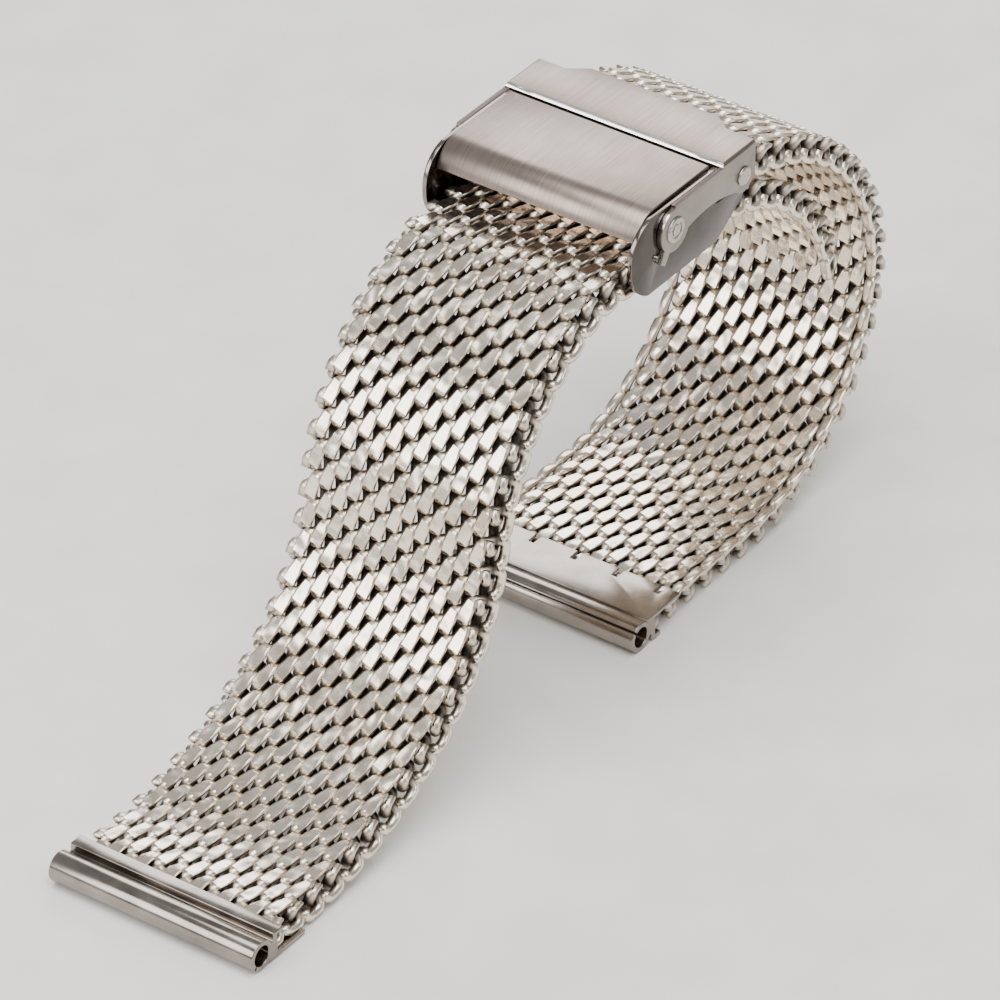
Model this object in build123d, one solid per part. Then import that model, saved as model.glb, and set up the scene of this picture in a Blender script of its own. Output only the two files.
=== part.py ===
"""Milanese mesh watch band, closed into its loop and lying on its two lug ends.

The frame is +X along the loop from the front lug end to the far bend, +Y across the band and +Z up,
with the origin under the middle of the loop, on the surface that the band rests on. The mesh is wire
spirals that lie across the band and interlock, so it bends at any row: each strap is cut into a few
stretches of rows that meet in round hinge lines.
"""

import math
import os

from build123d import *

# Mesh
mesh_inset = 0.3
mesh_thickness = 2.5
row_pitch = 1.3
row_flat_share = 0.46
row_groove = 0.26
edge_scallop = 0.35
scallop_corners = 6
hinge_gap = 0.06
hinge_opening = 24
nose_facets = 12

# Rows of spirals in each stretch, from the front lug end to the cut tail
front_rows = (8, 8, 8, 8, 8, 9)
clasp_rows = 11
tail_rows = (9, 10)
rear_rows = (8, 8, 8, 8, 9, 9, 8)

# Bends of the front strap from its lug end, the tail and the rear strap from its pin:
# each is a share of the strap's length and the degrees that it turns
front_bend_shares = ((0.0804, 0), (0.284, 32), (0.2709, 48.1), (0.3147, -57.8), (0.05, -22.3))
tail_bend_shares = ((0.07, -9), (0.93, -66))
rear_bend_shares = ((0.087, 2), (0.243, -45), (0.161, -44), (0.325, -76))
rear_lean = -17

# Lug ends, rolled from sheet round the spring bar
lug_width = 20.0
spring_bar_bore = 1.8
tube_wall = 0.45
end_sheet = 0.35
seam_gap = 0.2
seam_lean = 45
lip_length = 1.3
lip_groove = 0.35
plate_length = 4.1
notch_width = 0.5
notch_length = 1.2
notch_pitch = 4.2
notch_count = 5

# Clasp, measured from the axis of its front pin
pin_diameter = 1.2
pin_gap = 0.04
pin_spacing = 9.7
strap_gap = 1.85
clasp_rise = 2.6
slider_sheet = 0.4
slider_gap = 0.1
slider_nose = 5.4
slider_wall_top = 2.2
slider_rear = 10.3
slider_rear_top = -1.2
slider_rear_low = -2.4
nose_brow_share = 0.86
nose_chin_share = 0.93
floor_front = -3.0
floor_rear = 6.6
floor_gap = 0.1
link_sheet = 0.45
link_gap = 0.05
plate_front = 6.7
plate_rear = 11.3
plate_sheet = 0.5
plate_gap = 0.2
plate_bevel = 0.2
arm_top = 2.2
arm_lobe = 1.95
arm_waist = 0.35
arm_root_share = 0.7
rear_lobe = 1.5
tongue_reach = 1.2
tongue_shoulder = 2.8
tongue_slope = 1.75
link_edge_radius = 0.3
finger_length = 1.1
finger_width = 0.75
finger_lean = 236
snap_lean = 220
snap_radius = 0.25
snap_rise = 0.3
snap_clearance = 0.5
lever_gap = 0.1
lever_sheet = 0.5
lever_rear = 6.1
lever_rise = 2.5
roll_radius = 2.6
roll_centre = -1.6
roll_sweep = 80
cam_radius = 1.15
cam_clearance = 0.06
cam_half_width = 1.0
cam_tooth = 0.25
cam_teeth = 3
rivet_radius = 1.15
rivet_rise = 0.18
rivet_dome_share = 0.6
rivet_eye = 0.5
rivet_moat = 0.22
moat_depth = 0.12
rear_rivet_radius = 0.85
eye_wall = 0.4
eye_plate = 1.7
overrun = 5.0

# Sizes that follow: the mesh lies a little inside the width between the lugs
mesh_width = lug_width - 2 * mesh_inset
half_mesh = mesh_thickness / 2
tube_radius = spring_bar_bore / 2 + tube_wall
pin_radius = pin_diameter / 2
nose_radius = half_mesh - row_groove
slider_inside = mesh_width / 2 + slider_gap
slider_outside = slider_inside + slider_sheet
link_inside = slider_outside + link_gap
link_outside = link_inside + link_sheet
lever_half = slider_inside - lever_gap
strap_drop = strap_gap + half_mesh
floor_top = -strap_drop - half_mesh - floor_gap
slider_bottom = floor_top - slider_sheet
slider_step = plate_front - plate_gap
end_reach = tube_radius + lip_groove


def turned(x, z, degrees):
    """The point x, z turned about the origin, left from +X towards +Z."""
    c, s = math.cos(math.radians(degrees)), math.sin(math.radians(degrees))
    return x * c - z * s, x * s + z * c


class Course:
    """A strap's middle line in the X-Z plane: arcs that follow on from each other."""

    def __init__(self, start, heading, bends):
        self.arcs = []
        (x, z), run = start, 0.0
        for length, turn in bends:
            self.arcs.append((run, length, x, z, heading, turn))
            x, z, heading = self.step(x, z, heading, length, turn, length)
            run += length
        self.length = run

    @staticmethod
    def step(x, z, heading, length, turn, along):
        """The place and heading at a length along one arc."""
        if turn == 0:
            dx, dz = turned(along, 0, heading)
            return x + dx, z + dz, heading
        radius = length / math.radians(turn)
        swung = turn * along / length
        ahead, aside = turned(0, -radius, swung)
        dx, dz = turned(ahead, aside + radius, heading)
        return x + dx, z + dz, heading + swung

    def at(self, along):
        """The place and heading at a length along the whole course."""
        for run, length, x, z, heading, turn in self.arcs:
            if along <= run + length or run == self.arcs[-1][0]:
                return self.step(x, z, heading, length, turn, along - run)

    def beside(self, along, height):
        """The point at a height outside the middle line."""
        x, z, heading = self.at(along)
        dx, dz = turned(0, height, heading)
        return x + dx, z + dz

    def round(self, along, radius, angles):
        """Points of a circle round a point of the line, at angles from its heading."""
        x, z, heading = self.at(along)
        points = [turned(radius, 0, heading + angle) for angle in angles]
        return [(x + dx, z + dz) for dx, dz in points]


def prism(outline, half_width):
    """An outline of the X-Z plane, drawn out to both sides of it."""
    face = Plane.XZ * make_face(Polyline(*outline, close=True))
    return extrude(face, half_width, both=True)


def block(x0, x1, z0, z1, half_width):
    """A box across the band between two places along it and two heights."""
    return prism([(x0, z0), (x1, z0), (x1, z1), (x0, z1)], half_width)


def bar(radius, half_width, x=0, z=0):
    """A round bar across the band."""
    return Pos(x, 0, z) * Rot(90, 0, 0) * Cylinder(radius, 2 * half_width)


def fan(low, high, steps):
    """Evenly spaced angles from low to high."""
    return [low + (high - low) * i / steps for i in range(steps + 1)]


def row_side(course, start, rows, side):
    """One face of a stretch: the worn flat of each row and the groove to the next."""
    points = []
    flat = row_pitch * row_flat_share / 2
    for row in range(rows):
        middle = start + (row + 0.5) * row_pitch
        points += [course.beside(middle + reach, side * half_mesh) for reach in (-flat, flat)]
        if row < rows - 1:
            points.append(course.beside(middle + row_pitch / 2, side * nose_radius))
    return points


def stretch(course, start, rows, socket=True, nose=True):
    """A stretch of interlocked rows, hollow where it takes the nose of the stretch before it.

    Every second row ends short of the band's edge, where one spiral turns back inside the next.
    """
    outer = row_side(course, start, rows, 1)
    inner = row_side(course, start, rows, -1)
    end = start + rows * row_pitch
    nose_angles = fan(90 + hinge_opening, -90 - hinge_opening, nose_facets)
    socket_angles = fan(-90 + hinge_opening, 90 - hinge_opening, nose_facets)
    last = course.round(end, nose_radius, nose_angles) if nose else []
    first = course.round(start, nose_radius + hinge_gap, socket_angles) if socket else []
    solid = prism(outer + last + inner[::-1] + first, mesh_width / 2)
    tip = mesh_width / 2 - edge_scallop
    for row in range(1, rows, 2):
        ring = course.round(start + (row + 0.5) * row_pitch, row_pitch / 2, fan(0, 360, scallop_corners)[1:])
        for side in (-1, 1):
            notch = Pos(0, side * (tip + edge_scallop), 0) * prism(ring, edge_scallop)
            solid -= notch
    return solid


def rolled_end(bore, wall, half_width, plate, notches):
    """A sheet rolled round a bar and closed on the mesh, with its lip on the outside.

    Its frame is the bar's axis, with +X along the strap and +Z to the outside.
    """
    outer = bore + wall
    web_front, web_rear = bore, outer + lip_groove + end_sheet
    lip_front = outer + lip_groove / 2
    body = bar(outer, half_width)
    body += block(web_front, web_rear, -half_mesh, half_mesh - end_sheet - lip_groove, half_width)
    body += block(lip_front, web_rear, -half_mesh, half_mesh, half_width)
    body += block(lip_front, lip_front + lip_length, half_mesh - end_sheet, half_mesh, half_width)
    body += block(web_front, lip_front + plate, -half_mesh, end_sheet - half_mesh, half_width)
    body -= bar(bore, half_width + overrun)
    seam = block(-outer - overrun, 0, -seam_gap / 2, seam_gap / 2, half_width + overrun)
    body -= Rot(0, -seam_lean, 0) * seam
    for i in range(notches):
        across = (i - (notches - 1) / 2) * notch_pitch
        cut = block(lip_front + plate - notch_length, lip_front + plate + overrun,
                    -half_mesh - overrun, end_sheet - half_mesh, notch_width / 2)
        body -= Pos(0, across, 0) * cut
    return body


def crimp(bore, wall, plate, half_width):
    """The space that a rolled end takes out of the mesh that it holds."""
    outer = bore + wall
    lip_front = outer + lip_groove / 2
    web_rear = outer + lip_groove + end_sheet
    low, high, wide = -half_mesh - overrun, half_mesh + overrun, half_width + overrun
    room = block(-outer, web_rear, low, high, wide)
    room += block(0, lip_front + lip_length, half_mesh - end_sheet, high, wide)
    room += block(0, lip_front + plate, low, end_sheet - half_mesh, wide)
    return room


def seated(part, place):
    """A part of a strap's end, set at its axis and turned to the strap's heading."""
    x, z, heading = place
    return Pos(x, 0, z) * Rot(0, -heading, 0) * part


def slider():
    """The channel that the front strap slides through, open above and at both ends."""
    top, bottom = slider_wall_top, slider_bottom
    nose_top = -roll_radius
    brow = (-slider_nose * nose_brow_share, top / 2)
    chin = (-slider_nose * nose_chin_share, (bottom + slider_rear_top) / 2)
    lines = Line((slider_step, top), (nose_top, top))
    lines += ThreePointArc((nose_top, top), brow, (-slider_nose, slider_rear_top))
    lines += ThreePointArc((-slider_nose, slider_rear_top), chin, (floor_front, bottom))
    lines += Polyline((floor_front, bottom), (floor_rear, bottom), (slider_rear, slider_rear_low),
                      (slider_rear, slider_rear_top), (slider_step, slider_rear_top),
                      (slider_step, top))
    body = extrude(Plane.XZ * make_face(lines), slider_outside, both=True)
    reach = slider_rear + overrun
    body -= block(-reach, reach, floor_top, reach, slider_inside)
    body -= block(-reach, floor_front, bottom - overrun, reach, slider_inside)
    body -= block(floor_rear, reach, bottom - overrun, reach, slider_inside)
    body -= bar(pin_radius + pin_gap, slider_outside + overrun)
    for side in (-1, 1):
        x, z = turned(arm_lobe + snap_clearance + snap_radius, 0, snap_lean)
        body += Pos(x, side * slider_outside, z) * Rot(90, 0, 0) * Cylinder(snap_radius, 2 * snap_rise)
    return body


def fold_link():
    """The fold-over plate with its two side arms, concave below, and their snap fingers."""
    root = -arm_lobe * arm_root_share
    outline = Line((plate_rear, clasp_rise), (plate_front + plate_bevel, clasp_rise))
    outline += Polyline((plate_front + plate_bevel, clasp_rise), (plate_front, clasp_rise - plate_bevel),
                        (plate_front, arm_top), (0, arm_top), (0, root))
    outline += ThreePointArc((0, root), (pin_spacing / 2, -arm_waist), (pin_spacing, -rear_lobe))
    outline += Polyline((pin_spacing, -rear_lobe), (plate_rear, -rear_lobe / 2), (plate_rear, clasp_rise))
    body = extrude(Plane.XZ * make_face(outline), link_outside, both=True)
    body = fillet(body.edges().filter_by(Axis.X).group_by(Axis.Z)[-1], link_edge_radius)
    body += bar(arm_lobe, link_outside)
    body += bar(rear_lobe, link_outside, pin_spacing)
    finger = block(0, arm_lobe + finger_length, -finger_width / 2, finger_width / 2, link_outside)
    body += Rot(0, -finger_lean, 0) * finger
    body -= block(-plate_rear, plate_front, -overrun, clasp_rise + overrun, link_inside)
    body -= block(-plate_rear, plate_rear + overrun, -overrun, clasp_rise - plate_sheet, link_inside)
    shoulder = link_outside - tongue_shoulder
    tip = shoulder - tongue_slope
    tongue = plate_rear + tongue_reach
    plan = Polyline((plate_front, -shoulder), (plate_rear, -shoulder), (tongue, -tip),
                    (tongue, tip), (plate_rear, shoulder), (plate_front, shoulder), close=True)
    body += Pos(0, 0, clasp_rise - plate_sheet) * extrude(make_face(plan), plate_sheet)
    body -= bar(pin_radius, link_outside + overrun)
    body -= bar(pin_radius, link_outside + overrun, pin_spacing)
    return body


def cam_lever():
    """The flap between the slider's walls, with its front rolled down to a lip."""
    under = lever_rise - lever_sheet
    inner = roll_radius - lever_sheet
    bends = fan(90, 90 + roll_sweep, 2)

    def roll(radius):
        """The start, middle and end of the rolled front at one radius."""
        return [(roll_centre + x, lever_rise - roll_radius + z) for x, z in
                (turned(radius, 0, angle) for angle in bends)]

    lines = Polyline((roll_centre, lever_rise), (lever_rear, lever_rise),
                     (lever_rear, under), (roll_centre, under))
    lines += ThreePointArc(*roll(inner))
    lines += Line(roll(inner)[-1], roll(roll_radius)[-1])
    lines += ThreePointArc(*roll(roll_radius))
    return extrude(Plane.XZ * make_face(lines), lever_half, both=True)


def cam_bar():
    """The bar under the flap: its bore turns on the front pin, its toothed nose grips the mesh."""
    nose = strap_gap - cam_clearance
    body = bar(cam_radius, lever_half)
    body += block(-cam_half_width, cam_half_width, 0, lever_rise - lever_sheet, lever_half)
    tooth = cam_half_width / cam_teeth
    root = nose - cam_tooth
    outline = [(cam_half_width, 0), (cam_half_width / 2, -root)]
    for i in range(cam_teeth):
        peak = cam_half_width / 2 - (i + 0.5) * tooth
        outline += [(peak, -nose), (peak - tooth / 2, -root)]
    body += prism(outline + [(-cam_half_width, 0)], lever_half)
    return body - bar(pin_radius + pin_gap, lever_half + overrun)


def rivet(radius, x, eye=0):
    """A pin through both arms with a low domed head on each side, and a moat round its eye if it has one."""
    pin = bar(pin_radius, link_outside, x)
    for side in (-1, 1):
        across = side * (link_outside + rivet_rise / 2)
        head = Pos(x, across, 0) * Rot(90, 0, 0) * Cylinder(radius, rivet_rise)
        face = head.faces().sort_by(Axis.Y)[-1 if side > 0 else 0]
        pin += chamfer(face.edges(), rivet_rise * rivet_dome_share)
        if eye:
            moat = Cylinder(eye + rivet_moat, 2 * moat_depth) - Cylinder(eye, 2 * moat_depth)
            pin -= Pos(x, side * (link_outside + rivet_rise), 0) * Rot(90, 0, 0) * moat
    return pin


def bends_of(shares, length):
    """Shares of a length as arc lengths, with the degrees that each turns."""
    return [(share * length, turn) for share, turn in shares]


def front_course():
    """The middle line of the front strap, the stretch inside the clasp and the tail."""
    front = end_reach + sum(front_rows) * row_pitch
    tail = sum(tail_rows) * row_pitch
    bends = bends_of(front_bend_shares, front) + [(clasp_rows * row_pitch, 0)]
    return Course((0.0, tube_radius), 0, bends + bends_of(tail_bend_shares, tail)), front


def rear_course(pin):
    """The middle line of the rear strap from its pin, down round the far bend to the floor."""
    length = sum(rear_rows) * row_pitch
    bends = bends_of(rear_bend_shares, length)
    above = Course(pin, rear_lean, bends[:-1])
    x, z, heading = above.at(above.length)
    turn = bends[-1][1]
    drop = math.cos(math.radians(heading)) - math.cos(math.radians(heading + turn))
    bends[-1] = (abs(math.radians(turn)) * (z - tube_radius) / abs(drop), turn)
    rest = eye_reach + length + end_reach - sum(run for run, _ in bends)
    return Course(pin, rear_lean, bends + [(rest, 0)])


eye_reach = pin_radius + pin_gap + eye_wall + lip_groove

course, front_length = front_course()
mouth_x, mouth_z, _ = course.at(front_length)
clasp_x = mouth_x + slider_nose + row_pitch
clasp_z = mouth_z + strap_drop
rear_pin = (clasp_x + pin_spacing, clasp_z)
rear = rear_course(rear_pin)

nodes = {}
hinges = {}

along = end_reach
for i, rows in enumerate(front_rows, 1):
    nodes[f"front_mesh_{i}"] = stretch(course, along, rows, socket=i > 1)
    along += rows * row_pitch
    hinges[f"front_hinge_{i}"] = course.at(along)
nodes["clasp_mesh"] = stretch(course, along, clasp_rows)
along += clasp_rows * row_pitch
for i, rows in enumerate(tail_rows, 1):
    hinges[f"tail_hinge_{i}"] = course.at(along)
    nodes[f"tail_mesh_{i}"] = stretch(course, along, rows, nose=i < len(tail_rows))
    along += rows * row_pitch

along = eye_reach
for i, rows in enumerate(rear_rows, 1):
    nodes[f"rear_mesh_{i}"] = stretch(rear, along, rows, socket=i > 1, nose=i < len(rear_rows))
    along += rows * row_pitch
    if i < len(rear_rows):
        hinges[f"rear_hinge_{i}"] = rear.at(along)

bar_bore = spring_bar_bore / 2
eye_bore = pin_radius + pin_gap
front_place = course.at(0)
rear_x, rear_z, rear_heading = rear.at(rear.length)
rear_place = (rear_x, rear_z, rear_heading)
lug_end = rolled_end(bar_bore, tube_wall, lug_width / 2, plate_length, notch_count)
lug_crimp = crimp(bar_bore, tube_wall, plate_length, lug_width / 2)
flipped = Rot(0, 0, 180)
nodes["front_end_piece"] = seated(lug_end, front_place)
nodes["front_mesh_1"] -= seated(lug_crimp, front_place)
nodes["rear_end_piece"] = seated(flipped * lug_end, rear_place)
last_rear = f"rear_mesh_{len(rear_rows)}"
nodes[last_rear] -= seated(flipped * lug_crimp, rear_place)
eye_place = rear.at(0)
nodes["rear_strap_eye"] = seated(rolled_end(eye_bore, eye_wall, mesh_width / 2, eye_plate, 0), eye_place)
nodes["rear_mesh_1"] -= seated(crimp(eye_bore, eye_wall, eye_plate, mesh_width / 2), eye_place)

in_clasp = Pos(clasp_x, 0, clasp_z)
nodes["slider_body"] = in_clasp * slider()
nodes["fold_link"] = in_clasp * fold_link()
nodes["cam_lever"] = in_clasp * cam_lever()
nodes["cam_bar"] = in_clasp * cam_bar()
nodes["front_pivot_pin"] = in_clasp * rivet(rivet_radius, 0, rivet_eye)
nodes["rear_pin"] = in_clasp * rivet(rear_rivet_radius, pin_spacing)
hinges["lever_hinge"] = (clasp_x, clasp_z, 0)
hinges["link_hinge"] = (clasp_x, clasp_z, 0)
hinges["rear_eye_hinge"] = (*rear_pin, 0)

box = Compound(children=[Compound(part.wrapped) for part in nodes.values()]).bounding_box()
middle = (box.min.X + box.max.X) / 2
floor = box.min.Z
os.makedirs("parts", exist_ok=True)
for name, part in nodes.items():
    export_step(Pos(-middle, 0, -floor) * part, f"parts/{name}.step")

for name, (x, z, _) in hinges.items():
    print(f"{name}: x {x - middle:.4f}, z {z - floor:.4f}")
print(f"front lug bore: x {-middle:.4f}, z {tube_radius - floor:.4f}")
print(f"rear lug bore: x {rear_x - middle:.4f}, z {rear_z - floor:.4f}")
print(f"size: {box.size.X:.2f} by {box.size.Y:.2f} by {box.size.Z:.2f}")
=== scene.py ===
"""A milanese mesh watch band: woven wire, rolled lug ends and a sliding clasp, over the frame."""
import logging
import math
from dataclasses import dataclass
from enum import Enum
from typing import Iterable

import bmesh
import bpy
from mathutils import Matrix, Vector


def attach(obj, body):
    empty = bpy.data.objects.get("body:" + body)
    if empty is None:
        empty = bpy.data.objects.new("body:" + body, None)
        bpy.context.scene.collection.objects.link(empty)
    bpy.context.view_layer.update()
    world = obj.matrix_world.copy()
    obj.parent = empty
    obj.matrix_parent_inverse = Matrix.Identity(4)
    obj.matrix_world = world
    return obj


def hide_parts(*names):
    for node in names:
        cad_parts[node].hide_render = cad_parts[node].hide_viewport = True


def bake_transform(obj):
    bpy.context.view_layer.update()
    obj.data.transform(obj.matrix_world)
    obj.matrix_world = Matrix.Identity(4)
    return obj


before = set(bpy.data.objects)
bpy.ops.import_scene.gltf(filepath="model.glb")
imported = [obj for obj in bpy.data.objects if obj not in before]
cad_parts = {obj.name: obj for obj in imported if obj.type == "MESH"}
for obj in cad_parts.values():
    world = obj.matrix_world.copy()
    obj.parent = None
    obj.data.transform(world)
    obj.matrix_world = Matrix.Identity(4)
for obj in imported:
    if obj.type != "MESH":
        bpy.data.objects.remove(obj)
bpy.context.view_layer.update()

log = logging.getLogger("mesh_band")
MM = 0.001
Triple = tuple[float, float, float]
Outline = tuple[tuple[float, float], ...]


def linear(code: str) -> tuple[float, float, float, float]:
    """Turns an sRGB hex colour into Blender's linear colour.

    Args:
        code: six hex digits, with or without a leading hash.

    Returns:
        Red, green, blue and an alpha of 1.
    """
    digits = code.lstrip("#")
    parts = [int(digits[i:i + 2], 16) / 255 for i in (0, 2, 4)]
    red, green, blue = (p / 12.92 if p <= 0.04045 else ((p + 0.055) / 1.055) ** 2.4 for p in parts)
    return red, green, blue, 1.0


def add_node(tree: bpy.types.NodeTree, kind: str, links: dict | None = None,
             **settings) -> bpy.types.Node:
    """Adds one shader node.

    Args:
        tree: the material's or world's node tree.
        kind: the node's type name.
        links: input name or index to the output socket that feeds it, or to a value.
        settings: the node's own properties.

    Returns:
        The new node.
    """
    node = tree.nodes.new(kind)
    for name, value in settings.items():
        setattr(node, name, value)
    for name, value in (links or {}).items():
        if isinstance(value, bpy.types.NodeSocket):
            tree.links.new(value, node.inputs[name])
        else:
            node.inputs[name].default_value = value
    return node


def ramp(tree: bpy.types.NodeTree, factor: bpy.types.NodeSocket,
         stops: tuple[tuple[float, str], ...]) -> bpy.types.NodeSocket:
    """Colours a grey value by a ramp.

    Args:
        tree: the node tree.
        factor: the socket that drives it.
        stops: pairs of position and hex colour, in order.

    Returns:
        The colour's socket.
    """
    node = add_node(tree, "ShaderNodeValToRGB", {"Fac": factor})
    while len(node.color_ramp.elements) < len(stops):
        node.color_ramp.elements.new(1.0)
    for element, (place, code) in zip(node.color_ramp.elements, stops):
        element.position, element.color = place, linear(code)
    return node.outputs["Color"]


def noise(tree: bpy.types.NodeTree, size_mm: float | Triple, detail: float,
          roughness: float = 0.5) -> bpy.types.NodeSocket:
    """Adds noise that sits on the piece.

    Args:
        tree: the node tree.
        size_mm: how large its patches are, in millimetres, or how long they are on each axis.
        detail: how many finer layers lie on it.
        roughness: how strong the finer layers are.

    Returns:
        The grey value's socket.
    """
    place, scale = add_node(tree, "ShaderNodeTexCoord").outputs["Object"], 1.0
    if isinstance(size_mm, tuple):
        drawn_out = {"Vector": place, "Scale": tuple(1 / (size * MM) for size in size_mm)}
        place = add_node(tree, "ShaderNodeMapping", drawn_out).outputs["Vector"]
    else:
        scale = 1 / (size_mm * MM)
    links = {"Vector": place, "Scale": scale, "Detail": detail, "Roughness": roughness}
    return add_node(tree, "ShaderNodeTexNoise", links).outputs["Fac"]


def spread(tree: bpy.types.NodeTree, grey: bpy.types.NodeSocket, source: tuple[float, float],
           target: tuple[float, float]) -> bpy.types.NodeSocket:
    """Maps a grey value from one range to another.

    Args:
        tree: the node tree.
        grey: the value's socket.
        source: the range that it comes in.
        target: the range that it leaves in.

    Returns:
        The mapped value's socket.
    """
    links = {"Value": grey, "From Min": source[0], "From Max": source[1], "To Min": target[0],
             "To Max": target[1]}
    return add_node(tree, "ShaderNodeMapRange", links).outputs["Result"]


def relief(tree: bpy.types.NodeTree, height: bpy.types.NodeSocket, strength: float, depth_mm: float,
           under: bpy.types.NodeSocket | None = None) -> bpy.types.NodeSocket:
    """Raises a grey value as fine relief.

    Args:
        tree: the node tree.
        height: the value's socket.
        strength: how much of the relief shows.
        depth_mm: how deep it is, in millimetres.
        under: the normal of coarser relief that it lies on.

    Returns:
        The normal's socket.
    """
    links = {"Height": height, "Strength": strength, "Distance": depth_mm * MM}
    if under is not None:
        links["Normal"] = under
    return add_node(tree, "ShaderNodeBump", links).outputs["Normal"]


class Finish:
    """A surface finish: makes its material once and hands it out."""

    name = "finish"
    made: dict[str, bpy.types.Material] = {}

    def material(self) -> bpy.types.Material:
        """Returns the finish's material, made at the first call."""
        if self.name not in Finish.made:
            material = bpy.data.materials.new(self.name)
            material.use_nodes = True
            tree = material.node_tree
            tree.nodes.clear()
            shader = add_node(tree, "ShaderNodeBsdfPrincipled")
            output = add_node(tree, "ShaderNodeOutputMaterial", {"Surface": shader.outputs["BSDF"]})
            output.is_active_output = True
            self.build(tree, shader)
            Finish.made[self.name] = material
        return Finish.made[self.name]

    def build(self, tree: bpy.types.NodeTree, shader: bpy.types.Node) -> None:
        """Adds the finish's own nodes.

        Args:
            tree: the material's node tree.
            shader: its Principled shader.
        """
        raise NotImplementedError

    @staticmethod
    def bare_metal(tree: bpy.types.NodeTree, shader: bpy.types.Node, colour: bpy.types.NodeSocket,
                   rough: bpy.types.NodeSocket, normal: bpy.types.NodeSocket) -> None:
        """Makes the shader a bare metal's.

        Args:
            tree: the material's node tree.
            shader: its Principled shader.
            colour: the socket of the metal's colour.
            rough: the socket of its roughness.
            normal: the socket of its relief.
        """
        shader.inputs["Metallic"].default_value = 1.0
        for name, socket in (("Base Color", colour), ("Roughness", rough), ("Normal", normal)):
            tree.links.new(socket, shader.inputs[name])


@dataclass(frozen=True)
class DrawnWire(Finish):
    """Stainless wire, woven and tumbled bright: burnished crowns, with painted shade in the gaps."""

    name: str = "tumbled_steel_wire_painted_shade"
    crown: str = "#faf0e1"
    flank: str = "#cdc3b5"
    gap_painted_shade: str = "#4a4644"
    tarnished: str = "#f5efe8"
    clean: str = "#ffffff"
    tarnish_mm: float = 5.0
    scratch_mm: float = 0.12
    scratch_depth_mm: float = 0.02
    dent_mm: float = 1.1
    dent_depth_mm: float = 0.16
    dull: float = 0.42
    burnished: float = 0.17
    scuffing: float = 0.10

    def build(self, tree: bpy.types.NodeTree, shader: bpy.types.Node) -> None:
        """Colours the wire by how far it stands out of the weave, as painted shade, with dents and
        polishing marks.

        The Mix node's colour sockets go by number: 0 is its factor, 6 and 7 its colours and 2 the
        result.
        """
        crown = add_node(tree, "ShaderNodeAttribute", attribute_name="crown").outputs["Fac"]
        # painted shade and highlight: the ramp runs from a dark colour deep in the weave to a pale
        # one on the crowns
        tone = ramp(tree, crown, ((0.0, self.gap_painted_shade), (0.45, self.flank), (0.85, self.crown)))
        cloud = noise(tree, self.tarnish_mm, detail=3.0)
        warm = ramp(tree, cloud, ((0.3, self.tarnished), (0.7, self.clean)))
        colour = add_node(tree, "ShaderNodeMix", {0: 1.0, 6: tone, 7: warm}, data_type="RGBA",
                          blend_type="MULTIPLY").outputs[2]
        marks = noise(tree, self.scratch_mm, detail=2.0)
        polish = spread(tree, crown, (0.2, 0.9), (self.dull, self.burnished))
        rough = add_node(tree, "ShaderNodeMath", {0: marks, 1: self.scuffing, 2: polish},
                         operation="MULTIPLY_ADD").outputs["Value"]
        dents = relief(tree, noise(tree, self.dent_mm, detail=0.0), strength=0.7,
                       depth_mm=self.dent_depth_mm)
        normal = relief(tree, marks, strength=0.12, depth_mm=self.scratch_depth_mm, under=dents)
        self.bare_metal(tree, shader, colour, rough, normal)


@dataclass(frozen=True)
class BrushedSheet(Finish):
    """Steel sheet brushed on a belt: fine lines from front to rear that spread light across them."""

    name: str = "belt_brushed_steel_sheet"
    light: str = "#9b8d84"
    dark: str = "#82766e"
    line_mm: float = 0.13
    run_mm: float = 6.0
    line_depth_mm: float = 0.015
    smear_mm: float = 4.0
    roughness: tuple[float, float] = (0.29, 0.38)

    def build(self, tree: bpy.types.NodeTree, shader: bpy.types.Node) -> None:
        """Draws the brush lines, a little coarser than the belt's grit so that they show."""
        lines = noise(tree, (self.run_mm, self.line_mm, self.run_mm), detail=4.0, roughness=0.65)
        tone = ramp(tree, lines, ((0.3, self.dark), (0.7, self.light)))
        smear = noise(tree, self.smear_mm, detail=2.0)
        rough = spread(tree, smear, (0.3, 0.7), self.roughness)
        normal = relief(tree, lines, strength=0.25, depth_mm=self.line_depth_mm)
        self.bare_metal(tree, shader, tone, rough, normal)


@dataclass(frozen=True)
class BuffedSheet(Finish):
    """Steel sheet buffed on a mop: near mirror, with faint hairlines and handling haze."""

    name: str = "mop_buffed_steel_sheet"
    light: str = "#cfc2bb"
    dark: str = "#b9aba3"
    haze_mm: float = 3.0
    hair_mm: float = 0.15
    run_mm: float = 5.0
    hair_depth_mm: float = 0.01
    roughness: tuple[float, float] = (0.14, 0.23)

    def build(self, tree: bpy.types.NodeTree, shader: bpy.types.Node) -> None:
        """Clouds a bright sheet with haze and lays faint hairlines across the band on it."""
        haze = noise(tree, self.haze_mm, detail=4.0)
        tone = ramp(tree, haze, ((0.3, self.dark), (0.65, self.light)))
        rough = spread(tree, haze, (0.3, 0.7), self.roughness)
        hairs = noise(tree, (self.hair_mm, self.run_mm, self.hair_mm), detail=2.0)
        normal = relief(tree, hairs, strength=0.12, depth_mm=self.hair_depth_mm)
        self.bare_metal(tree, shader, tone, rough, normal)


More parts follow.
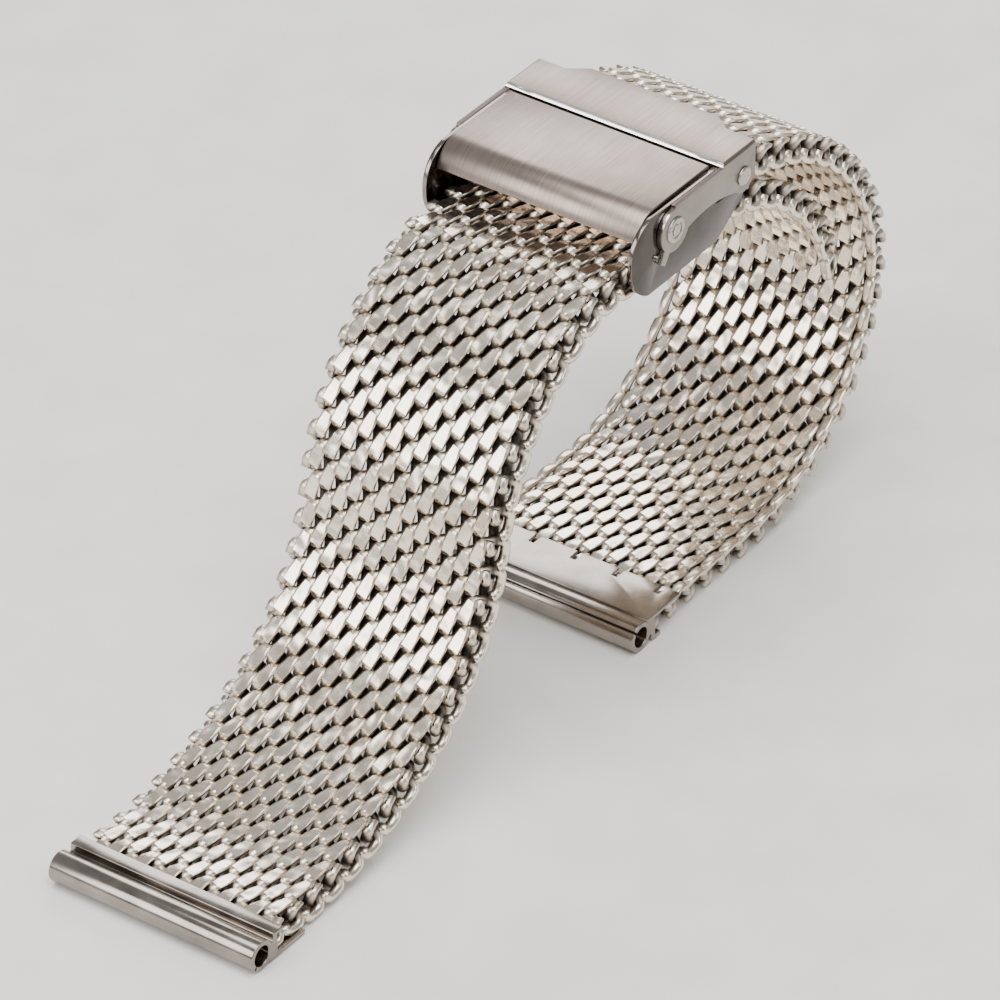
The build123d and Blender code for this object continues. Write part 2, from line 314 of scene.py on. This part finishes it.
@dataclass(frozen=True)
class TurnedPin(Finish):
    """Steel bar turned and riveted over: fine marks from the tool, duller in the low places."""

    name: str = "turned_steel_rivet"
    light: str = "#c9c1b9"
    dark: str = "#8f867d"
    mark_mm: float = 0.16
    mark_depth_mm: float = 0.02
    roughness: tuple[float, float] = (0.23, 0.38)

    def build(self, tree: bpy.types.NodeTree, shader: bpy.types.Node) -> None:
        """Draws the tool's marks as fine noise and darkens the low places."""
        marks = noise(tree, self.mark_mm, detail=3.0)
        tone = ramp(tree, marks, ((0.3, self.dark), (0.6, self.light)))
        rough = spread(tree, marks, (0.0, 1.0), self.roughness)
        normal = relief(tree, marks, strength=0.2, depth_mm=self.mark_depth_mm)
        self.bare_metal(tree, shader, tone, rough, normal)


@dataclass(frozen=True)
class PaperFloor(Finish):
    """Pale coated paper: an even matt sheet with a faint fibre."""

    name: str = "pale_coated_paper"
    light: str = "#efede9"
    dark: str = "#e9e6e1"
    fibre_mm: float = 8.0
    roughness: float = 0.75

    def build(self, tree: bpy.types.NodeTree, shader: bpy.types.Node) -> None:
        """Mottles the paper very slightly."""
        fibre = noise(tree, self.fibre_mm, detail=3.0)
        tone = ramp(tree, fibre, ((0.35, self.dark), (0.65, self.light)))
        shader.inputs["Roughness"].default_value = self.roughness
        tree.links.new(tone, shader.inputs["Base Color"])


class Facing(Enum):
    """The way that a rolled end holds its strap: from its start onward, or back from its end."""

    ONWARD = 1
    BACKWARD = -1


@dataclass
class Course:
    """The middle line of a strap in the X-Z plane, as arcs that follow on from each other."""

    start: tuple[float, float]
    heading: float
    bends: tuple[tuple[float, float], ...]

    def at(self, along: float) -> tuple[Vector, float]:
        """Finds a place on the line.

        Args:
            along: the distance from the start, in metres.

        Returns:
            The point and the heading there, in degrees from +X towards +Z.
        """
        here, heading, left = Vector((self.start[0], 0, self.start[1])), self.heading, along
        for i, (length, turn) in enumerate(self.bends):
            run = left if i == len(self.bends) - 1 else min(left, length)
            swung = turn * run / length
            radius = length / math.radians(turn) if turn else 0.0
            ahead = radius * math.sin(math.radians(swung)) if turn else run
            aside = radius * (1 - math.cos(math.radians(swung))) if turn else 0.0
            c, s = math.cos(math.radians(heading)), math.sin(math.radians(heading))
            here = here + Vector((ahead * c - aside * s, 0, ahead * s + aside * c))
            heading += swung
            left -= run
            if left <= 0:
                break
        return here, heading


@dataclass
class Stretch:
    """A run of rows that one CAD body carries."""

    body: str
    node: str
    rows: int


@dataclass
class Crimp:
    """Where a rolled end holds the mesh: its web, and how far its lip and its inner plate reach.

    Near a lug end the crowns are also ground flat, by a depth that fades out along the strap.
    """

    axis: float
    facing: Facing
    web: float
    lip: float
    plate: float
    ground: float = 0.0
    sheet: float = 0.35 * MM
    slack: float = 0.02 * MM
    lip_fade: float = 0.3 * MM
    plate_fade: float = 0.8 * MM
    ground_reach: float = 8 * MM
    ground_fade: float = 16 * MM

    def pinch(self, vert: bmesh.types.BMVert, middle: float, high: float) -> None:
        """Squeezes one point of a spiral into the room that the rolled end leaves.

        Args:
            vert: the point, with the spiral's middle at the origin.
            middle: how far along the strap the spiral lies.
            high: half the mesh's thickness.
        """
        way = self.facing.value
        away = way * (middle + vert.co.x - self.axis)
        if away < self.web:
            vert.co.x = self.axis + way * self.web - middle
            away = self.web
        depth = self.sheet + self.slack
        top = high - depth * fade(away, self.lip, self.lip_fade)
        bottom = -high + depth * fade(away, self.plate, self.plate_fade)
        flat = high - self.ground * fade(away, self.ground_reach, self.ground_fade)
        vert.co.z = bottom + (max(-flat, min(flat, vert.co.z)) + high) * (top - bottom) / (2 * high)


@dataclass
class Weave:
    """Wire spirals that lie across the strap, each wound through its neighbours half a turn on.

    The sections are half outlines of the wire in millimetres, as distances out of the spiral and
    across the wire. The shades are painted shade and highlight with burnish, from 0 in the gaps to 1
    on a worn crown.
    """

    width: float = 19.4 * MM
    thickness: float = 2.5 * MM
    row: float = 1.3 * MM
    half_run: float = 1.1 * MM
    worn_section: Outline = ((0.36, 0.47), (0.06, 0.62), (-0.26, 0.46), (-0.42, 0.18))
    round_section: Outline = ((0.41, 0.17), (0.17, 0.42), (-0.17, 0.42), (-0.41, 0.17))
    turns: int = 7
    turn: float = 2.7 * MM
    steps: int = 12
    bunching: float = 0.07
    straight: float = 0.30
    tuck: float = 0.05
    flatness: float = 0.70
    inset: float = 0.3 * MM
    worn: float = 0.16 * MM
    wear_gain: float = 1.1
    wear_stop: float = 1.0 * MM
    wear_fade: float = 0.9 * MM
    taper: float = 0.30
    tilt: float = 0.18 * MM
    crown_from: float = 0.3 * MM
    crown_shade: float = 0.7
    worn_shade: float = 0.9
    # painted shade: the wire's flanks and its inside are darker than its crowns
    flank_painted_shade: float = 0.6
    core_painted_shade: float = 0.25
    # painted highlight on the loops along the strap's edges, and painted shade by depth in the weave
    rim: float = 0.2 * MM
    rim_fade: float = 0.3 * MM
    rim_painted_highlight: float = 0.8
    depth_painted_shade: float = 1.5
    finish: Finish = DrawnWire()

    def spiral(self, odd: bool) -> bpy.types.Mesh:
        """Winds one spiral about the Y axis by spinning the wire's section along it.

        Args:
            odd: true for a spiral that starts half a turn on and ends a little short of the edge.

        Returns:
            A mesh, with its run along X and its rise along Z.
        """
        count = self.turns * self.steps + (0 if odd else self.steps // 2)
        reach = self.width / 2 - self.round_section[1][1] * MM - (self.inset if odd else 0.0)
        sides = 2 * len(self.worn_section)
        bm = bmesh.new()
        crown = bm.verts.layers.float.new("crown")
        disc = bmesh.ops.create_circle(bm, cap_ends=True, segments=sides, radius=self.half_run / 2)
        bmesh.ops.translate(bm, verts=disc["verts"], vec=(self.half_run, 0, 0))
        bmesh.ops.spin(bm, geom=bm.faces[:], cent=(0, 0, 0), axis=(0, -1, 0),
                       dvec=(0, self.turn / self.steps, 0), angle=2 * math.pi * count / self.steps,
                       steps=count, use_merge=False, use_duplicate=False)
        bm.verts.ensure_lookup_table()
        for i in range(count + 1):
            angle = 2 * math.pi * (i - count / 2) / self.steps
            angle += self.bunching * math.sin(4 * angle) + self.phase(odd)
            middle, outward, side = self.frame_at(angle, reach, odd)
            flat = min(1.0, self.wear_gain * math.sin(angle) ** 2)
            flat *= fade(abs(middle.y), reach - self.wear_stop, self.wear_fade)
            broad = 1 - self.taper * math.sin(2 * angle)
            ring = bm.verts[i * sides:(i + 1) * sides]
            for vert, (out, across) in zip(ring, self.outline(flat, broad)):
                vert[crown] = self.shade(out, flat)
                vert.co = middle + outward * out + side * across
        worn = {face for face in bm.faces
                if min(vert[crown] for vert in face.verts) > self.worn_shade}
        for edge in bm.edges:
            edge.smooth = len(worn.intersection(edge.link_faces)) != 1
        bmesh.ops.recalc_face_normals(bm, faces=bm.faces)
        mesh = bpy.data.meshes.new("spiral_odd" if odd else "spiral_even")
        bm.to_mesh(mesh)
        bm.free()
        return mesh

    @staticmethod
    def phase(odd: bool) -> float:
        """Returns the angle of a spiral's middle: a crown on the strap's outside or its inside."""
        return math.pi / 2 * (-1 if odd else 1)

    def shade(self, out: float, flat: float) -> float:
        """Returns a point's tone: painted shade by how far out of the spiral it lies, burnish by how
        worn it is.
        """
        if out > self.crown_from:
            return self.crown_shade + (1 - self.crown_shade) * flat
        return self.flank_painted_shade if out > 0 else self.core_painted_shade

    def outline(self, flat: float, broad: float) -> Outline:
        """Finds the wire's outline at one place.

        Args:
            flat: how far it is worn, from 0 for round to 1 for flat.
            broad: how broad its worn face is, as a share of the middle's.

        Returns:
            Points round the wire, each as far out of the spiral and across the wire.
        """
        (top, brim), *rest = self.worn_section
        pairs = zip(self.round_section, [(top, min(brim * broad, rest[0][1])), *rest])
        half = tuple(tuple((r + (w - r) * flat) * MM for r, w in zip(*pair)) for pair in pairs)
        return half + tuple((out, -across) for out, across in reversed(half))

    def winding(self, angle: float, reach: float, odd: bool) -> Vector:
        """Finds the middle of the wire: long straight crowns, and the sideways step at the bends.

        Args:
            angle: how far round it has wound, in radians, with a crown at a quarter turn.
            reach: how far across the strap the wire goes before it closes flat on the edge.
            odd: true for a spiral that is half a turn on.

        Returns:
            The point, with the spiral's axis along Y.
        """
        c, s = math.cos(angle), math.sin(angle)
        rise = self.thickness / 2 + self.worn - self.worn_section[0][0] * MM
        step = angle + self.straight * math.sin(2 * angle) + self.tuck * math.sin(4 * angle)
        across = self.turn * (step - self.phase(odd)) / (2 * math.pi)
        return Vector((math.copysign(abs(c) ** self.flatness * self.half_run, c),
                       max(-reach, min(reach, across)),
                       math.copysign(abs(s) ** self.flatness * rise, s)))

    def frame_at(self, angle: float, reach: float, odd: bool) -> tuple[Vector, Vector, Vector]:
        """Finds the wire's middle with its outward and sideways directions.

        Args:
            angle: how far round it has wound, in radians.
            reach: how far across the strap it goes.
            odd: true for a spiral that is half a turn on.

        Returns:
            The middle, the direction out of the spiral and the direction across the wire.
        """
        small = math.radians(4)
        along = self.winding(angle + small, reach, odd) - self.winding(angle - small, reach, odd)
        along.normalize()
        outward = Vector((along.z, 0, -along.x)).normalized()
        side = (Vector((0, 1, 0)) - along * along.y).normalized()
        return self.winding(angle, reach, odd), outward, side

    def grind_and_paint_shade(self, vert: bmesh.types.BMVert, crown: bmesh.types.BMLayerItem) -> None:
        """Cuts one point down to the strap's tilted facets and paints shade on it by how deep it
        lies.

        Args:
            vert: the point, with the spiral's middle at the origin.
            crown: the layer of the wire's shades.
        """
        high = self.thickness / 2
        ahead = math.copysign(vert.co.x, vert.co.x * vert.co.z)
        slope = self.tilt * (1 + ahead / self.half_run) / 2
        vert.co.z = max(slope - high, min(high - slope, vert.co.z))
        # painted highlight near the strap's edges, and painted shade that darkens the wire the
        # deeper it lies
        rim = fade(self.width / 2 - abs(vert.co.y), self.rim, self.rim_fade)
        vert[crown] = max(self.rim_painted_highlight * rim, vert[crown] * (abs(vert.co.z) / high) ** self.depth_painted_shade)

    def lay(self, name: str, course: Course, first: float, rows: Iterable[int],
            crimps: tuple[Crimp, ...]) -> bpy.types.Object:
        """Lays rows of spirals along a course as one object.

        Args:
            name: the object's name.
            course: the strap's middle line.
            first: how far along the course row 0 starts.
            rows: the rows' numbers.
            crimps: the rolled ends that hold the strap.

        Returns:
            The object, dressed in the wire's finish.
        """
        bm = bmesh.new()
        templates = (self.spiral(False), self.spiral(True))
        crown = bm.verts.layers.float.new("crown")
        for row in rows:
            middle = first + (row + 0.5) * self.row
            here, heading = course.at(middle)
            before = len(bm.verts)
            bm.from_mesh(templates[row % 2])
            bm.verts.ensure_lookup_table()
            fresh = bm.verts[before:]
            for vert in fresh:
                self.grind_and_paint_shade(vert, crown)
                for crimp in crimps:
                    crimp.pinch(vert, middle, self.thickness / 2)
            place = Matrix.Translation(here) @ Matrix.Rotation(-math.radians(heading), 4, "Y")
            bmesh.ops.transform(bm, matrix=place, verts=fresh)
        bmesh.ops.recalc_face_normals(bm, faces=bm.faces)
        for template in templates:
            bpy.data.meshes.remove(template)
        return placed(name, bm, self.finish)


def fade(along: float, edge: float, run: float) -> float:
    """Returns 1 before an edge and falls smoothly to 0 over a run after it."""
    t = min(1.0, max(0.0, (edge + run - along) / run))
    return t * t * (3 - 2 * t)


def placed(name: str, bm: bmesh.types.BMesh, finish: Finish,
           smooth: float = 180.0) -> bpy.types.Object:
    """Turns a bmesh into an object of the scene.

    Args:
        name: the object's name.
        bm: the mesh, which is freed.
        finish: the finish that it wears.
        smooth: the angle in degrees above which an edge stays sharp.

    Returns:
        The object.
    """
    mesh = bpy.data.meshes.new(name)
    bm.to_mesh(mesh)
    bm.free()
    mesh.polygons.foreach_set("use_smooth", [True] * len(mesh.polygons))
    if smooth < 180:
        mesh.set_sharp_from_angle(angle=math.radians(smooth))
    mesh.materials.append(finish.material())
    obj = bpy.data.objects.new(name, mesh)
    bpy.context.scene.collection.objects.link(obj)
    return obj


@dataclass
class Strap:
    """One strap: its course, its stretches from the first row on, and its weave."""

    name: str
    course: Course
    first: float
    stretches: tuple[Stretch, ...]
    crimps: tuple[Crimp, ...]
    weave: Weave
    overlap: int = 2

    def lay(self, name: str, low: int, high: int) -> bpy.types.Object:
        """Lays the rows from one number up to another as one piece."""
        return self.weave.lay(name, self.course, self.first, range(low, high), self.crimps)

    def build(self) -> None:
        """Lays the rows: those at a hinge line as a fixed piece of their own, the others on their
        body.
        """
        start, last = 0, len(self.stretches) - 1
        for i, stretch in enumerate(self.stretches):
            end = start + stretch.rows
            wire = self.lay(f"{stretch.node}_wire", start + (self.overlap if i else 0),
                            end - (self.overlap if i < last else 0))
            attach(wire, stretch.body)
            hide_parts(stretch.node)
            if i < last:
                after = self.stretches[i + 1]
                seam = self.lay(f"{stretch.node}_to_{after.node}_wire", end - self.overlap,
                                end + self.overlap)
                reach = self.overlap * self.weave.row
                middle = self.first + end * self.weave.row
                tuple(self.course.at(middle - reach)[0])
                tuple(self.course.at(middle + reach)[0])
                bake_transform(seam)
            start = end
        log.info("%s: %d rows of wire", self.name, start)


@dataclass(frozen=True)
class Trim:
    """A finish for those faces of a fitting that look one way or the opposite one, here painted
    shade or highlight.
    """

    finish: Finish
    facing: Triple
    spread: float = 20.0

    def dress(self, piece: bpy.types.Object) -> None:
        """Gives the finish to the piece's faces that look along the trim's direction."""
        piece.data.materials.append(self.finish.material())
        least = math.cos(math.radians(self.spread))
        for face in piece.data.polygons:
            if abs(face.normal.dot(Vector(self.facing).normalized())) > least:
                face.material_index = len(piece.data.materials) - 1


@dataclass(frozen=True)
class Chamfer:
    """A wide bevel along one straight edge across the band, whose ends are bevelled a little."""

    x: float
    z: float
    begun: float
    width: float
    slack: float = 0.004 * MM

    def near(self, vert: bmesh.types.BMVert, back: float, down: float) -> bool:
        """Tells whether a point lies a given way behind and below the edge's line."""
        off = abs(vert.co.x - self.x - back), abs(vert.co.z - self.z + down)
        return max(off) < self.slack

    def cut(self, bm: bmesh.types.BMesh) -> None:
        """Bevels the square part of the edge, and then draws all of it out to the full width."""
        square = [edge for edge in bm.edges if all(self.near(vert, 0, 0) for vert in edge.verts)]
        bmesh.ops.bevel(bm, geom=square, offset=self.begun, offset_type="OFFSET", affect="EDGES",
                        segments=1, profile=0.5, material=-1, clamp_overlap=False)
        bmesh.ops.remove_doubles(bm, verts=bm.verts, dist=self.slack)
        for vert in bm.verts:
            if self.near(vert, self.begun, 0):
                vert.co.x = self.x + self.width
            elif self.near(vert, 0, self.begun):
                vert.co.z = self.z - self.width


@dataclass
class Fitting:
    """A solid fitting, redrawn from its CAD node with broken edges.

    The angles are in degrees: faces that turn less than `level` are one face, edges that turn more
    than `sharp` are broken, and those that turn more than `crease` stay sharp to the light.
    """

    node: str
    body: str
    slot: str
    finish: Finish
    edge: float = 0.06 * MM
    segments: int = 2
    trims: tuple[Trim, ...] = ()
    chamfers: tuple[Chamfer, ...] = ()
    weld: float = 0.001 * MM
    level: float = 0.6
    sharp: float = 40.0
    crease: float = 32.0

    def build(self) -> None:
        """Copies the node, merges it, breaks its edges and dresses it."""
        bm = bmesh.new()
        bm.from_mesh(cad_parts[self.node].data)
        bmesh.ops.remove_doubles(bm, verts=bm.verts, dist=self.weld)
        bmesh.ops.dissolve_limit(bm, angle_limit=math.radians(self.level), verts=bm.verts,
                                 edges=bm.edges, use_dissolve_boundaries=False)
        for chamfer in self.chamfers:
            chamfer.cut(bm)
        sharp = math.radians(self.sharp)
        broken = [edge for edge in bm.edges
                  if len(edge.link_faces) == 2 and edge.calc_face_angle() > sharp]
        bmesh.ops.bevel(bm, geom=broken, offset=self.edge, offset_type="OFFSET", affect="EDGES",
                        segments=self.segments, profile=0.5, material=-1, clamp_overlap=True)
        bmesh.ops.triangulate(bm, faces=[face for face in bm.faces if len(face.verts) > 4])
        piece = placed(f"{self.node}_dressed", bm, self.finish, self.crease)
        for trim in self.trims:
            trim.dress(piece)
        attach(piece, self.body)
        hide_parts(self.node)
        log.info("%s: %d faces", piece.name, len(piece.data.polygons))


@dataclass
class Clasp:
    """The sliding clasp: its channel, the cam lever and the fold-over link with their two pins.

    The channel is darker than the plate and its walls most of all, as painted shade for sides that
    mirror a dark room. The link's arms are greyer as painted shade; the plate's front edge is a
    painted highlight.
    """

    satin: Finish = BrushedSheet()
    bright: Finish = BuffedSheet()
    # painted shade: the channel is a darker copy of the buffed steel
    channel: Finish = BuffedSheet("mop_buffed_channel_painted_shade", "#8f8580", "#776d68")
    # painted shade: the link's arms are a greyer copy of the brushed steel
    flank: Finish = BrushedSheet("belt_brushed_flank_painted_shade", "#9a938c", "#817a74")
    # painted shade: the walls are a still darker copy, for a dark room mirrored in them
    shade: Finish = BuffedSheet("mop_buffed_wall_painted_shade", "#57524e", "#474240")
    # painted highlight: the plate's front edge is a near-white copy of the buffed steel
    edge: Finish = BuffedSheet("mop_buffed_plate_edge_painted_highlight", "#fbf5ef", "#ece5de")
    pin: Finish = TurnedPin()
    plate_edge: Chamfer = Chamfer(17.9726 * MM, 42.3688 * MM, begun=0.2 * MM, width=0.3 * MM)

    def build(self) -> None:
        """Dresses each piece of the clasp."""
        # the trims paint shade on the faces that look sideways and a highlight on the plate's front
        # edge
        sides, front = (0, 1, 0), (-1, 0, 1)
        for fitting in (
            Fitting("slider_body", "clasp_frame", "polished_steel", self.channel, edge=0.06 * MM,
                    trims=(Trim(self.shade, sides),)),
            Fitting("fold_link", "link", "satin_steel", self.satin, edge=0.07 * MM,
                    trims=(Trim(self.flank, sides), Trim(self.edge, front)),
                    chamfers=(self.plate_edge,)),
            Fitting("cam_lever", "lever", "satin_steel", self.satin, edge=0.08 * MM),
            Fitting("cam_bar", "lever", "polished_steel", self.bright, edge=0.04 * MM),
            Fitting("rear_strap_eye", "rear_strap_1", "polished_steel", self.bright, edge=0.05 * MM),
            Fitting("front_pivot_pin", "link", "pin_steel", self.pin, edge=0.04 * MM),
            Fitting("rear_pin", "link", "pin_steel", self.pin, edge=0.04 * MM),
        ):
            fitting.build()


@dataclass
class LugEnds:
    """The two ends that a spring bar goes through, rolled from sheet."""

    # painted reflection: the lug ends are a darker copy of the buffed steel, for a dark room
    # mirrored in them
    finish: Finish = BuffedSheet("mop_buffed_lug_painted_dark_reflection", "#9e968e", "#857d76")
    edge: float = 0.08 * MM
    segments: int = 3

    def build(self) -> None:
        """Dresses both ends."""
        ends = (("front_end_piece", "front_strap_1"), ("rear_end_piece", "rear_strap_7"))
        for node, body in ends:
            Fitting(node, body, "polished_steel", self.finish, self.edge, self.segments).build()


@dataclass(frozen=True)
class Softbox:
    """A square softbox: where it hangs and how wide it is, in metres, and its power in watts."""

    name: str
    place: Triple
    size: float
    watts: float

    def hang(self, target: Vector) -> None:
        """Hangs the softbox so that it faces a point."""
        lamp = bpy.data.lights.new(self.name, "AREA")
        lamp.shape, lamp.size, lamp.energy = "SQUARE", self.size, self.watts
        obj = bpy.data.objects.new(self.name, lamp)
        obj.location = self.place
        obj.rotation_euler = (target - Vector(self.place)).to_track_quat("-Z", "Y").to_euler()
        bpy.context.scene.collection.objects.link(obj)


@dataclass
class Studio:
    """The floor, the soft lights and the camera, which stands where the photographer's stood."""

    eye: Triple = (-429.6794 * MM, -308.14 * MM, 385.93 * MM)
    look: Triple = (0.66688, 0.47568, -0.57358)
    lens: float = 288.0
    sensor: float = 36.0
    clip: tuple[float, float] = (0.01, 20.0)
    target: Triple = (0.0, 0.0, 20 * MM)
    drop: float = 0.02 * MM
    half_floor: float = 3.0
    room: str = "#d2d2d4"
    room_light: float = 0.65
    softboxes: tuple[Softbox, ...] = (
        Softbox("overhead_softbox", (-0.10, -0.08, 0.55), 0.50, 4.2),
        Softbox("rear_softbox", (0.50, 0.30, 0.34), 0.36, 2.0),
        Softbox("side_softbox", (-0.10, -0.60, 0.25), 0.22, 0.6),
        Softbox("left_softbox", (-0.55, 0.28, 0.34), 0.40, 3.0),
    )

    def build(self) -> None:
        """Sets the whole studio."""
        self.floor()
        for softbox in self.softboxes:
            softbox.hang(Vector(self.target))
        self.world()
        self.camera()

    def floor(self) -> None:
        """Lays a plain pale sheet just under the band."""
        bm = bmesh.new()
        bmesh.ops.create_grid(bm, x_segments=1, y_segments=1, size=self.half_floor)
        bmesh.ops.translate(bm, verts=bm.verts, vec=(0, 0, -self.drop))
        placed("floor", bm, PaperFloor())

    def world(self) -> None:
        """Fills the room with an even grey."""
        world = bpy.data.worlds.new("studio")
        bpy.context.scene.world = world
        world.use_nodes = True
        tree = world.node_tree
        tree.nodes.clear()
        fill = add_node(tree, "ShaderNodeBackground", {"Color": linear(self.room),
                                                       "Strength": self.room_light})
        add_node(tree, "ShaderNodeOutputWorld", {"Surface": fill.outputs["Background"]})

    def camera(self) -> None:
        """Puts the camera at the photograph's place and angle."""
        data = bpy.data.cameras.new("camera")
        data.lens, data.sensor_width = self.lens, self.sensor
        data.clip_start, data.clip_end = self.clip
        obj = bpy.data.objects.new("camera", data)
        obj.location = self.eye
        obj.rotation_euler = Vector(self.look).to_track_quat("-Z", "Y").to_euler()
        bpy.context.scene.collection.objects.link(obj)
        bpy.context.scene.camera = obj


def lug_crimp(axis: float, facing: Facing) -> Crimp:
    """Describes how a lug end holds the mesh.

    Args:
        axis: how far along the strap's course the end's bore lies.
        facing: the way that the end holds the strap.

    Returns:
        The crimp, which is ground flat on its crowns.
    """
    return Crimp(axis, facing, web=2.05 * MM, lip=2.82 * MM, plate=5.62 * MM, ground=0.14 * MM)


def front_strap() -> Strap:
    """Describes the front strap with the stretch inside the clasp and the tail.

    Returns:
        The strap. Its bends are shares of the run up to the clasp and of the tail, with their turns.
    """
    weave = Weave()
    run, slider_rows, tail_rows = 65.4 * MM, 11, 19
    shares = ((0.0804, 0.0), (0.284, 32.0), (0.2709, 48.1), (0.3147, -57.8), (0.05, -22.3))
    tail_shares = ((0.07, -9.0), (0.93, -66.0))
    bends = [(share * run, turn) for share, turn in shares]
    bends += [(slider_rows * weave.row, 0.0)]
    bends += [(share * tail_rows * weave.row, turn) for share, turn in tail_shares]
    stretches = [Stretch(f"front_strap_{i}", f"front_mesh_{i}", rows)
                 for i, rows in enumerate((8, 8, 8, 8, 8, 9), 1)]
    stretches += [Stretch("sliding_mesh", "clasp_mesh", slider_rows),
                  Stretch("tail_1", "tail_mesh_1", 9), Stretch("tail_2", "tail_mesh_2", 10)]
    course = Course((-43.4594 * MM, 1.35 * MM), 0.0, tuple(bends))
    return Strap("front strap", course, first=1.7 * MM, stretches=tuple(stretches),
                 crimps=(lug_crimp(0.0, Facing.ONWARD),), weave=weave)


def rear_strap() -> Strap:
    """Describes the rear strap from its eye on the rear pin to its lug end."""
    bends = ((6.5598 * MM, 2.0), (18.3222 * MM, -45.0), (12.1394 * MM, -44.0),
             (24.5199 * MM, -76.0), (16.9487 * MM, 0.0))
    stretches = tuple(Stretch(f"rear_strap_{i}", f"rear_mesh_{i}", rows)
                      for i, rows in enumerate((8, 8, 8, 8, 9, 9, 8), 1))
    eye = Crimp(0.0, Facing.ONWARD, web=1.74 * MM, lip=2.51 * MM, plate=2.92 * MM)
    lug = lug_crimp(sum(run for run, _ in bends), Facing.BACKWARD)
    course = Course((20.9726 * MM, 39.7688 * MM), -17.0, bends)
    return Strap("rear strap", course, first=1.39 * MM, stretches=stretches, crimps=(eye, lug),
                 weave=Weave())


def main() -> None:
    """Builds the band and its studio."""
    logging.basicConfig(level=logging.INFO, format="%(name)s: %(message)s")
    front_strap().build()
    rear_strap().build()
    Clasp().build()
    LugEnds().build()
    Studio().build()


if __name__ == "__main__":
    main()
